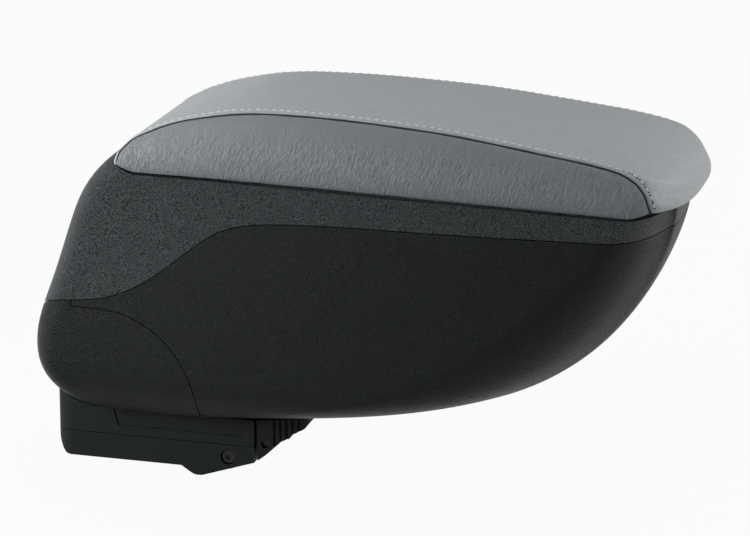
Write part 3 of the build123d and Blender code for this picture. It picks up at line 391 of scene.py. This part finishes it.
def build_cushion():
    """The cushion with its seams and folds, the right seam's path, and its form without them."""
    grid = cushion_grid()
    seam = seam_path()
    rings, columns = grid.shape[:2]
    points = grid.reshape(-1, 3)
    x, z = points[:, 0], points[:, 2]
    distance = seam_distance(points, seam)
    push = -GROOVE_DEPTH * np.exp(-((distance / GROOVE_WIDTH) ** 2))
    push += SEAM_PUFF * np.exp(-(((distance - SEAM_PUFF_AT) / SEAM_PUFF_WIDTH) ** 2))
    seam_at = np.interp(x, seam_xs, seam_zs, left=0.0, right=0.0)
    below = (z < seam_at) & (x > SEAM_LINE[0][0]) & (x < SEAM_LINE[-1][0])
    calm = ease(distance / FOLD_CALM_SEAM) * ease((z - low_z(x)) / FOLD_CALM_EDGE) * below
    push += FOLD_DEPTH * calm * side_folds(points)
    push[: UNDER_RINGS * columns] = 0
    faces = grid_faces(rings, columns)
    tree = BVHTree.FromPolygons([Vector(v) for v in points], faces)
    piece = link("cushion", (points + grid_normals(grid) * push[:, None]) * MM, faces)
    # The underside takes the lining; faces below the seam take the side leatherette, which is painted
    # darker as shade
    for face in piece.data.polygons:
        if face.vertices[0] // columns < UNDER_RINGS - 1:
            face.material_index = 2
        elif sum(bool(below[v]) for v in face.vertices) >= 2:
            face.material_index = 1
    shape = bmesh.new()
    shape.from_mesh(piece.data)
    bmesh.ops.remove_doubles(shape, verts=shape.verts, dist=WELD * MM)
    bmesh.ops.recalc_face_normals(shape, faces=shape.faces)
    shape.to_mesh(piece.data)
    shape.free()
    return piece, seam, tree


def outward(normal, at):
    """The normal turned away from the middle of the cushion."""
    middle = Vector(((PAD_REAR + PAD_FRONT) / 2, 0.0, LID_Z))
    return normal if normal.dot(at - middle) > 0 else -normal


def ring_points(centre, first, second, radius, sides):
    """Points of a ring around centre, in metres."""
    turns = [2 * math.pi * b / sides for b in range(sides)]
    return [(centre + (first * math.cos(t) + second * math.sin(t)) * radius) * MM for t in turns]


def add_tube(mesh, rows):
    """A tube through rings of points, closed at both ends."""
    verts, faces = mesh
    start = len(verts)
    around = len(rows[0])
    for row in rows:
        verts.extend(row)
    for a in range(len(rows) - 1):
        row = start + a * around
        for b in range(around):
            c = (b + 1) % around
            faces.append((row + b, row + c, row + around + c, row + around + b))
    last = start + (len(rows) - 1) * around
    faces.append(tuple(start + b for b in range(around))[::-1])
    faces.append(tuple(last + b for b in range(around)))


def add_stitch(mesh, near, direction, across, normal):
    """One stitch: a short thread that rises from the cover and sinks back at both ends."""
    rows = []
    for a in range(STITCH_ROWS + 1):
        t = a / STITCH_ROWS
        lift = math.sin(math.pi * t) ** 0.5
        centre = near + direction * (t - 0.5) * STITCH_LENGTH
        centre = centre + normal * (lift * STITCH_RISE - STITCH_SINK)
        girth = STITCH_RADIUS * (STITCH_GIRTH[0] + STITCH_GIRTH[1] * lift)
        rows.append(ring_points(centre, across, normal, girth, STITCH_SIDES))
    add_tube(mesh, rows)


def add_hole(mesh, near, direction, across, normal):
    """A pricked hole: a low button in the cover, dark with painted shade of the hole."""
    rows = []
    for share, height in HOLE_RINGS:
        centre = near + normal * height
        rows.append(ring_points(centre, direction, across, HOLE_RADIUS * share, HOLE_SIDES))
    add_tube(mesh, rows)


def build_stitches(tree, seam):
    """Stitches beside both seams on the top panel, and their holes at the front turn."""
    luck = random.Random(STITCH_SEED)
    thread_mesh, hole_mesh = ([], []), ([], [])
    spacing = int(round(STITCH_PITCH / SEAM_STEP))
    first = int(np.searchsorted(seam[:, 0], STITCH_FROM_X))
    for side in (1, -1):
        for i in range(first, len(seam) - STITCH_SAMPLES_LEFT, spacing):
            at = Vector(seam[i])
            tangent = Vector(seam[min(i + 2, len(seam) - 1)]) - Vector(seam[i - 2])
            if side < 0:
                at.y = -at.y
                tangent.y = -tangent.y
            normal = outward(tree.find_nearest(at)[1], at)
            across = normal.cross(tangent.normalized()) * side
            near, normal = tree.find_nearest(at + across * STITCH_OFFSET)[:2]
            normal = outward(normal, near)
            near = near + normal * STITCH_LIFT
            across = normal.cross(tangent).normalized()
            tangent = across.cross(normal).normalized()
            wander = luck.uniform(-STITCH_WANDER, STITCH_WANDER)
            direction = (tangent + across * wander).normalized()
            add_stitch(thread_mesh, near, direction, across, normal)
            if near.x > HOLE_FROM_X:
                for end in (-1, 1):
                    place_at = near + direction * end * STITCH_LENGTH / 2
                    add_hole(hole_mesh, place_at, direction, across, normal)
    return link("seam_stitches", *thread_mesh), link("seam_holes", *hole_mesh)


def build_seam_shade_tube(tree, seam):
    """The dark bottom of the two seams: a thin dark tube sunk in the groove, painted shade of the
    groove.
    """
    mesh = ([], [])
    for side in (1, -1):
        rows = []
        for i in range(len(seam)):
            step = Vector(seam[min(i + 1, len(seam) - 1)]) - Vector(seam[max(i - 1, 0)])
            centre = Vector(seam[i])
            centre.y, step.y = centre.y * side, step.y * side
            normal = outward(tree.find_nearest(centre)[1], centre)
            across = normal.cross(step).normalized()
            centre = centre - normal * SEAM_SHADE_SINK
            rows.append(ring_points(centre, across, normal, SEAM_SHADE_RADIUS, SHADE_TUBE_SIDES))
        add_tube(mesh, rows)
    return link("seam_shade_tube", *mesh)


# Creases and tones of the leatherette, with painted shade in the creases, and the spread of the
# plastics' grain
CREASE_SCALE = (820.0, 240.0, 310.0)
CREASE_TURN = math.radians(-24.0)
CREASE_FADE = (176.0, 190.0)
CREASE_LEAST = 0.15
CREASE_PATCH_GAIN = 1.6
CREASE_PATCH_BASE = 0.1
# Darkening of the crease hollows: painted shade
CREASE_PAINTED_SHADE = 0.2
TONE_CONTRAST = 0.1
TONE_SPREAD = 0.2
GRAIN_SPREAD = 0.14
METAL_DARK = 0.85


def material(name, color, roughness, specular):
    made = bpy.data.materials.new(name)
    made.use_nodes = True
    shader = made.node_tree.nodes["Principled BSDF"]
    shader.inputs["Base Color"].default_value = (*color, 1.0)
    shader.inputs["Roughness"].default_value = roughness
    shader.inputs["Specular IOR Level"].default_value = specular
    return made, shader


def add(tree, kind, **values):
    """A new node with values set on its inputs, or else on the node itself."""
    node = tree.nodes.new(kind)
    for key, value in values.items():
        if key in node.inputs:
            node.inputs[key].default_value = value
        else:
            setattr(node, key, value)
    return node


def place(tree, scale=(1.0, 1.0, 1.0), turn=0.0):
    """Object coordinates, turned about Y and then stretched."""
    coordinates = add(tree, "ShaderNodeTexCoord")
    turned = add(tree, "ShaderNodeMapping", Rotation=(0.0, turn, 0.0))
    mapping = add(tree, "ShaderNodeMapping", Scale=scale)
    tree.links.new(coordinates.outputs["Object"], turned.inputs["Vector"])
    tree.links.new(turned.outputs["Vector"], mapping.inputs["Vector"])
    return mapping.outputs["Vector"]


def vary(tree, shader, factor, dark, light, spread):
    """Colour between dark and light by a texture's factor."""
    ramp = add(tree, "ShaderNodeValToRGB")
    ramp.color_ramp.elements[0].color = (*dark, 1.0)
    ramp.color_ramp.elements[1].color = (*light, 1.0)
    ramp.color_ramp.elements[0].position = 0.5 - spread
    ramp.color_ramp.elements[1].position = 0.5 + spread
    tree.links.new(factor, ramp.inputs["Fac"])
    tree.links.new(ramp.outputs["Color"], shader.inputs["Base Color"])


def bump(tree, shader, height, strength, distance):
    """Fine relief, laid over any relief that the shader has already."""
    made = add(tree, "ShaderNodeBump", Strength=strength, Distance=distance)
    tree.links.new(height, made.inputs["Height"])
    previous = shader.inputs["Normal"].links
    if previous:
        tree.links.new(previous[0].from_socket, made.inputs["Normal"])
    tree.links.new(made.outputs["Normal"], shader.inputs["Normal"])


def shades(color, contrast):
    """A darker and a lighter shade of a colour."""
    return tuple((1 - contrast) * c for c in color), tuple((1 + contrast) * c for c in color)


def creases(tree):
    """Height of fine upright creases in the side panels, fading out towards the seam."""
    folds = add(tree, "ShaderNodeTexNoise", Scale=1.0, Detail=4.0, Roughness=0.6, Distortion=0.7)
    tree.links.new(place(tree, CREASE_SCALE, CREASE_TURN), folds.inputs["Vector"])
    patches = add(tree, "ShaderNodeTexNoise", Scale=55.0, Detail=1.0)
    tree.links.new(place(tree), patches.inputs["Vector"])
    split = add(tree, "ShaderNodeSeparateXYZ")
    tree.links.new(place(tree), split.inputs["Vector"])
    fade = add(tree, "ShaderNodeMapRange", interpolation_type="SMOOTHSTEP")
    fade.inputs["From Min"].default_value = CREASE_FADE[0] * MM
    fade.inputs["From Max"].default_value = CREASE_FADE[1] * MM
    fade.inputs["To Min"].default_value = 1.0
    fade.inputs["To Max"].default_value = CREASE_LEAST
    tree.links.new(split.outputs["Z"], fade.inputs["Value"])
    patched = add(tree, "ShaderNodeMath", operation="MULTIPLY_ADD")
    patched.inputs[1].default_value = CREASE_PATCH_GAIN
    patched.inputs[2].default_value = CREASE_PATCH_BASE
    tree.links.new(patches.outputs["Fac"], patched.inputs[0])
    strength = add(tree, "ShaderNodeMath", operation="MULTIPLY")
    tree.links.new(fade.outputs["Result"], strength.inputs[0])
    tree.links.new(patched.outputs["Value"], strength.inputs[1])
    signed = add(tree, "ShaderNodeMath", operation="SUBTRACT")
    signed.inputs[1].default_value = 0.5
    tree.links.new(folds.outputs["Fac"], signed.inputs[0])
    height = add(tree, "ShaderNodeMath", operation="MULTIPLY_ADD")
    height.inputs[2].default_value = 0.5
    tree.links.new(signed.outputs["Value"], height.inputs[0])
    tree.links.new(strength.outputs["Value"], height.inputs[1])
    return height.outputs["Value"]


def leather(name, color, wrinkles):
    """Leatherette with a fine cell grain, and creases where it wrinkles, darkened in their hollows with
    painted shade.
    """
    made, shader = material(name, color, roughness=0.5, specular=0.35)
    tree = made.node_tree
    shader.inputs["Sheen Weight"].default_value = 0.1
    shader.inputs["Sheen Roughness"].default_value = 0.5
    cells = add(tree, "ShaderNodeTexVoronoi", Scale=900.0)
    cells.feature = "DISTANCE_TO_EDGE"
    tree.links.new(place(tree), cells.inputs["Vector"])
    bump(tree, shader, cells.outputs["Distance"], strength=0.35, distance=0.0004)
    if wrinkles:
        height, contrast = creases(tree), CREASE_PAINTED_SHADE
        bump(tree, shader, height, strength=0.9, distance=0.0013)
    else:
        folds = add(tree, "ShaderNodeTexNoise", Scale=420.0, Detail=5.0, Roughness=0.7)
        tree.links.new(place(tree), folds.inputs["Vector"])
        height, contrast = folds.outputs["Fac"], TONE_CONTRAST
        bump(tree, shader, height, strength=0.12, distance=0.0006)
    # The colour follows the height: random tone on the top, painted shade in the side's creases
    vary(tree, shader, height, *shades(color, contrast), TONE_SPREAD)
    return made


def plastic(name, color, roughness, specular, grain, strength, depth, contrast):
    """Plastic with a speckled grain in colour and relief."""
    made, shader = material(name, color, roughness, specular)
    tree = made.node_tree
    speckle = add(tree, "ShaderNodeTexNoise", Scale=grain, Detail=2.0, Roughness=0.6)
    tree.links.new(place(tree), speckle.inputs["Vector"])
    vary(tree, shader, speckle.outputs["Fac"], *shades(color, contrast), GRAIN_SPREAD)
    bump(tree, shader, speckle.outputs["Fac"], strength, depth)
    return made


def metal(name, color, roughness):
    """Metal with faint marks along Y."""
    made, shader = material(name, color, roughness, specular=0.5)
    shader.inputs["Metallic"].default_value = 1.0
    tree = made.node_tree
    scratches = add(tree, "ShaderNodeTexNoise", Scale=900.0, Detail=4.0)
    tree.links.new(place(tree, (1.0, 0.2, 1.0)), scratches.inputs["Vector"])
    dark = tuple(METAL_DARK * c for c in color)
    vary(tree, shader, scratches.outputs["Fac"], dark, color, TONE_SPREAD)
    bump(tree, shader, scratches.outputs["Fac"], strength=0.1, distance=0.0002)
    return made


# Each plastic: colour, roughness, specular level, grains per metre, relief strength and depth, contrast
PLASTICS = {
    "seam_shadow": ((0.03, 0.032, 0.034), 0.8, 0.1, 900.0, 0.2, 0.0003, 0.2),
    "cushion_lining": ((0.03, 0.03, 0.032), 0.9, 0.1, 1400.0, 0.5, 0.0005, 0.3),
    "thread": ((0.50, 0.515, 0.52), 0.75, 0.2, 2600.0, 0.4, 0.0002, 0.1),
    "grained_plastic": ((0.0385, 0.0433, 0.0452), 0.4, 0.14, 1650.0, 1.0, 0.0018, 0.98),
    "smooth_plastic": ((0.0052, 0.0066, 0.0069), 0.43, 0.10, 1200.0, 0.9, 0.0007, 0.8),
    "base_plastic": ((0.0120, 0.0138, 0.0144), 0.5, 0.06, 1500.0, 0.6, 0.0003, 0.5),
    "lever_plastic": ((0.006, 0.006, 0.0063), 0.6, 0.12, 2600.0, 0.4, 0.0002, 0.2),
    "inner_plastic": ((0.02, 0.02, 0.021), 0.6, 0.3, 1800.0, 0.4, 0.0003, 0.2),
    "rubber": ((0.014, 0.014, 0.014), 0.85, 0.2, 1200.0, 0.5, 0.0003, 0.3),
    "foam": ((0.55, 0.52, 0.42), 0.95, 0.1, 700.0, 0.8, 0.0012, 0.15),
}
# Each metal: colour and roughness
METALS = {
    "steel": ((0.22, 0.22, 0.225), 0.5),
    "blackened_steel": ((0.03, 0.03, 0.032), 0.4),
    "cast_aluminium": ((0.5, 0.5, 0.51), 0.5),
}
# The material of each node; the others are steel
LOOKS = {
    "upper_frame": "grained_plastic",
    "lower_casing": "smooth_plastic",
    "rear_housing": "smooth_plastic",
    "base_lower_shell": "base_plastic",
    "base_upper_shell": "base_plastic",
    "release_lever": "lever_plastic",
    "lid_board": "inner_plastic",
    "axle_clamps": "inner_plastic",
    "friction_washers": "inner_plastic",
    "floor_mat": "rubber",
    "lid_bumpers": "rubber",
    "stop_pad": "rubber",
    "knuckle_bracket": "cast_aluminium",
    "cushion_foam": "foam",
    "side_screws": "blackened_steel",
    "lever_pin": "blackened_steel",
}
leather_top = leather("leatherette_top", (0.268, 0.284, 0.288), False)
# The side leatherette is the top's leatherette painted darker and bluer: painted shade and a painted
# bluish reflection
leather_side_painted_shade = leather("leatherette_side_painted_shade", (0.142, 0.150, 0.162), True)
made_of = {name: plastic(name, *values) for name, values in PLASTICS.items()}
made_of.update({name: metal(name, *values) for name, values in METALS.items()})
for name, piece in nodes.items():
    piece.data.materials.clear()
    piece.data.materials.append(made_of[LOOKS.get(name, "steel")])

cushion, seam, cushion_tree = build_cushion()
for chosen in (leather_top, leather_side_painted_shade, made_of["cushion_lining"]):
    cushion.data.materials.append(chosen)
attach(cushion, "lid")
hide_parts("cushion_top_cover", "cushion_side_cover_left", "cushion_side_cover_right",
            "cushion_foam")

stitches, holes = build_stitches(cushion_tree, seam)
seam_shade_tube = build_seam_shade_tube(cushion_tree, seam)
for piece, chosen in ((stitches, "thread"), (holes, "seam_shadow"), (seam_shade_tube, "seam_shadow")):
    piece.data.materials.append(made_of[chosen])
    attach(piece, "lid")

# Floor and world, lengths in metres
FLOOR_Z = -0.0046
FLOOR_HALF = 4
FLOOR_TONE = 0.3
FLOOR_WHITE = 0.95
WHITE = (1.0, 1.0, 1.0, 1.0)
SKY_COLOR = (0.93, 0.96, 1.0, 1.0)
SKY_HEIGHT = (-0.1, 0.9)
SKY_STRENGTH = (0.02, 0.38)


def build_floor():
    """A floor that keeps the shadow and shows white to the camera and in reflections."""
    corners = ((-1, -1), (1, -1), (1, 1), (-1, 1))
    verts = [(FLOOR_HALF * x, FLOOR_HALF * y, FLOOR_Z) for x, y in corners]
    made = link("floor", verts, [(0, 1, 2, 3)])
    pale = bpy.data.materials.new("pale_floor")
    pale.use_nodes = True
    tree = pale.node_tree
    tree.nodes.clear()
    diffuse = add(tree, "ShaderNodeBsdfDiffuse", Color=(FLOOR_TONE, FLOOR_TONE, FLOOR_TONE, 1.0))
    glow = add(tree, "ShaderNodeEmission", Color=WHITE, Strength=1.0)
    rays = add(tree, "ShaderNodeLightPath")
    seen = add(tree, "ShaderNodeMath", operation="MAXIMUM")
    seen_all = add(tree, "ShaderNodeMath", operation="MAXIMUM")
    share = add(tree, "ShaderNodeMath", operation="MULTIPLY")
    share.inputs[1].default_value = FLOOR_WHITE
    mixed = add(tree, "ShaderNodeMixShader")
    output = add(tree, "ShaderNodeOutputMaterial")
    tree.links.new(rays.outputs["Is Camera Ray"], seen.inputs[0])
    tree.links.new(rays.outputs["Is Glossy Ray"], seen.inputs[1])
    tree.links.new(seen.outputs[0], seen_all.inputs[0])
    tree.links.new(rays.outputs["Is Transmission Ray"], seen_all.inputs[1])
    tree.links.new(seen_all.outputs[0], share.inputs[0])
    tree.links.new(share.outputs[0], mixed.inputs["Fac"])
    tree.links.new(diffuse.outputs[0], mixed.inputs[1])
    tree.links.new(glow.outputs[0], mixed.inputs[2])
    tree.links.new(mixed.outputs[0], output.inputs["Surface"])
    made.data.materials.append(pale)
    return made


def build_world():
    """White behind the object, and soft grey light on it that comes from above."""
    world = bpy.data.worlds.new("studio")
    scene.world = world
    world.use_nodes = True
    tree = world.node_tree
    tree.nodes.clear()
    coordinates = add(tree, "ShaderNodeTexCoord")
    split = add(tree, "ShaderNodeSeparateXYZ")
    sky = add(tree, "ShaderNodeMapRange")
    sky.inputs["From Min"].default_value, sky.inputs["From Max"].default_value = SKY_HEIGHT
    sky.inputs["To Min"].default_value, sky.inputs["To Max"].default_value = SKY_STRENGTH
    ambient = add(tree, "ShaderNodeBackground", Color=SKY_COLOR)
    tree.links.new(coordinates.outputs["Generated"], split.inputs["Vector"])
    tree.links.new(split.outputs["Z"], sky.inputs["Value"])
    tree.links.new(sky.outputs["Result"], ambient.inputs["Strength"])
    white = add(tree, "ShaderNodeBackground", Color=WHITE, Strength=1.0)
    rays = add(tree, "ShaderNodeLightPath")
    mixed = add(tree, "ShaderNodeMixShader")
    output = add(tree, "ShaderNodeOutputWorld")
    tree.links.new(rays.outputs["Is Camera Ray"], mixed.inputs["Fac"])
    tree.links.new(ambient.outputs[0], mixed.inputs[1])
    tree.links.new(white.outputs[0], mixed.inputs[2])
    tree.links.new(mixed.outputs[0], output.inputs["Surface"])


def lamp(name, position, aim, size, energy, spread=180.0):
    """A soft rectangular lamp that looks at a point."""
    data = bpy.data.lights.new(name, "AREA")
    data.spread = math.radians(spread)
    data.shape = "RECTANGLE"
    data.size, data.size_y = size
    data.energy = energy
    made = bpy.data.objects.new(name, data)
    made.location = position
    made.rotation_euler = (Vector(aim) - Vector(position)).to_track_quat("-Z", "Y").to_euler()
    scene.collection.objects.link(made)


def build_camera():
    """The camera at the photograph's viewing angle."""
    toward = Vector((math.sin(AZIMUTH) * math.cos(ELEVATION),
                     -math.cos(AZIMUTH) * math.cos(ELEVATION),
                     math.sin(ELEVATION)))
    level = Vector((math.cos(AZIMUTH), math.sin(AZIMUTH), 0.0))
    upright = toward.cross(level)
    right = level * math.cos(ROLL) + upright * math.sin(ROLL)
    up = upright * math.cos(ROLL) - level * math.sin(ROLL)
    lens = bpy.data.cameras.new("photo_camera")
    lens.lens = LENS_MM
    lens.sensor_fit = "HORIZONTAL"
    lens.sensor_width = SENSOR_MM
    camera = bpy.data.objects.new("photo_camera", lens)
    turned = Matrix((right, up, toward)).transposed().to_4x4()
    camera.matrix_world = Matrix.Translation(TARGET + toward * DISTANCE) @ turned
    scene.collection.objects.link(camera)
    scene.camera = camera


floor = build_floor()
build_world()

# Lamps: place, aim and size in metres, power in watts, spread in degrees
CENTRE = (0.12, 0.0, 0.1)
REAR_CORNER = (-0.06, -0.05, 0.17)
lamp("top_light", (0.35, 0.4, 1.5), CENTRE, (1.6, 1.0), 9.9)
lamp("back_light", (0.9, 1.2, 0.9), CENTRE, (0.6, 0.6), 3.0)
lamp("left_light", (-0.44, -0.36, 0.26), REAR_CORNER, (0.25, 0.3), 1.2, 72.0)
lamp("right_light", (1.3, -0.08, 0.3), CENTRE, (0.5, 0.9), 9.5)

build_camera()
scene.view_settings.view_transform = "Standard"
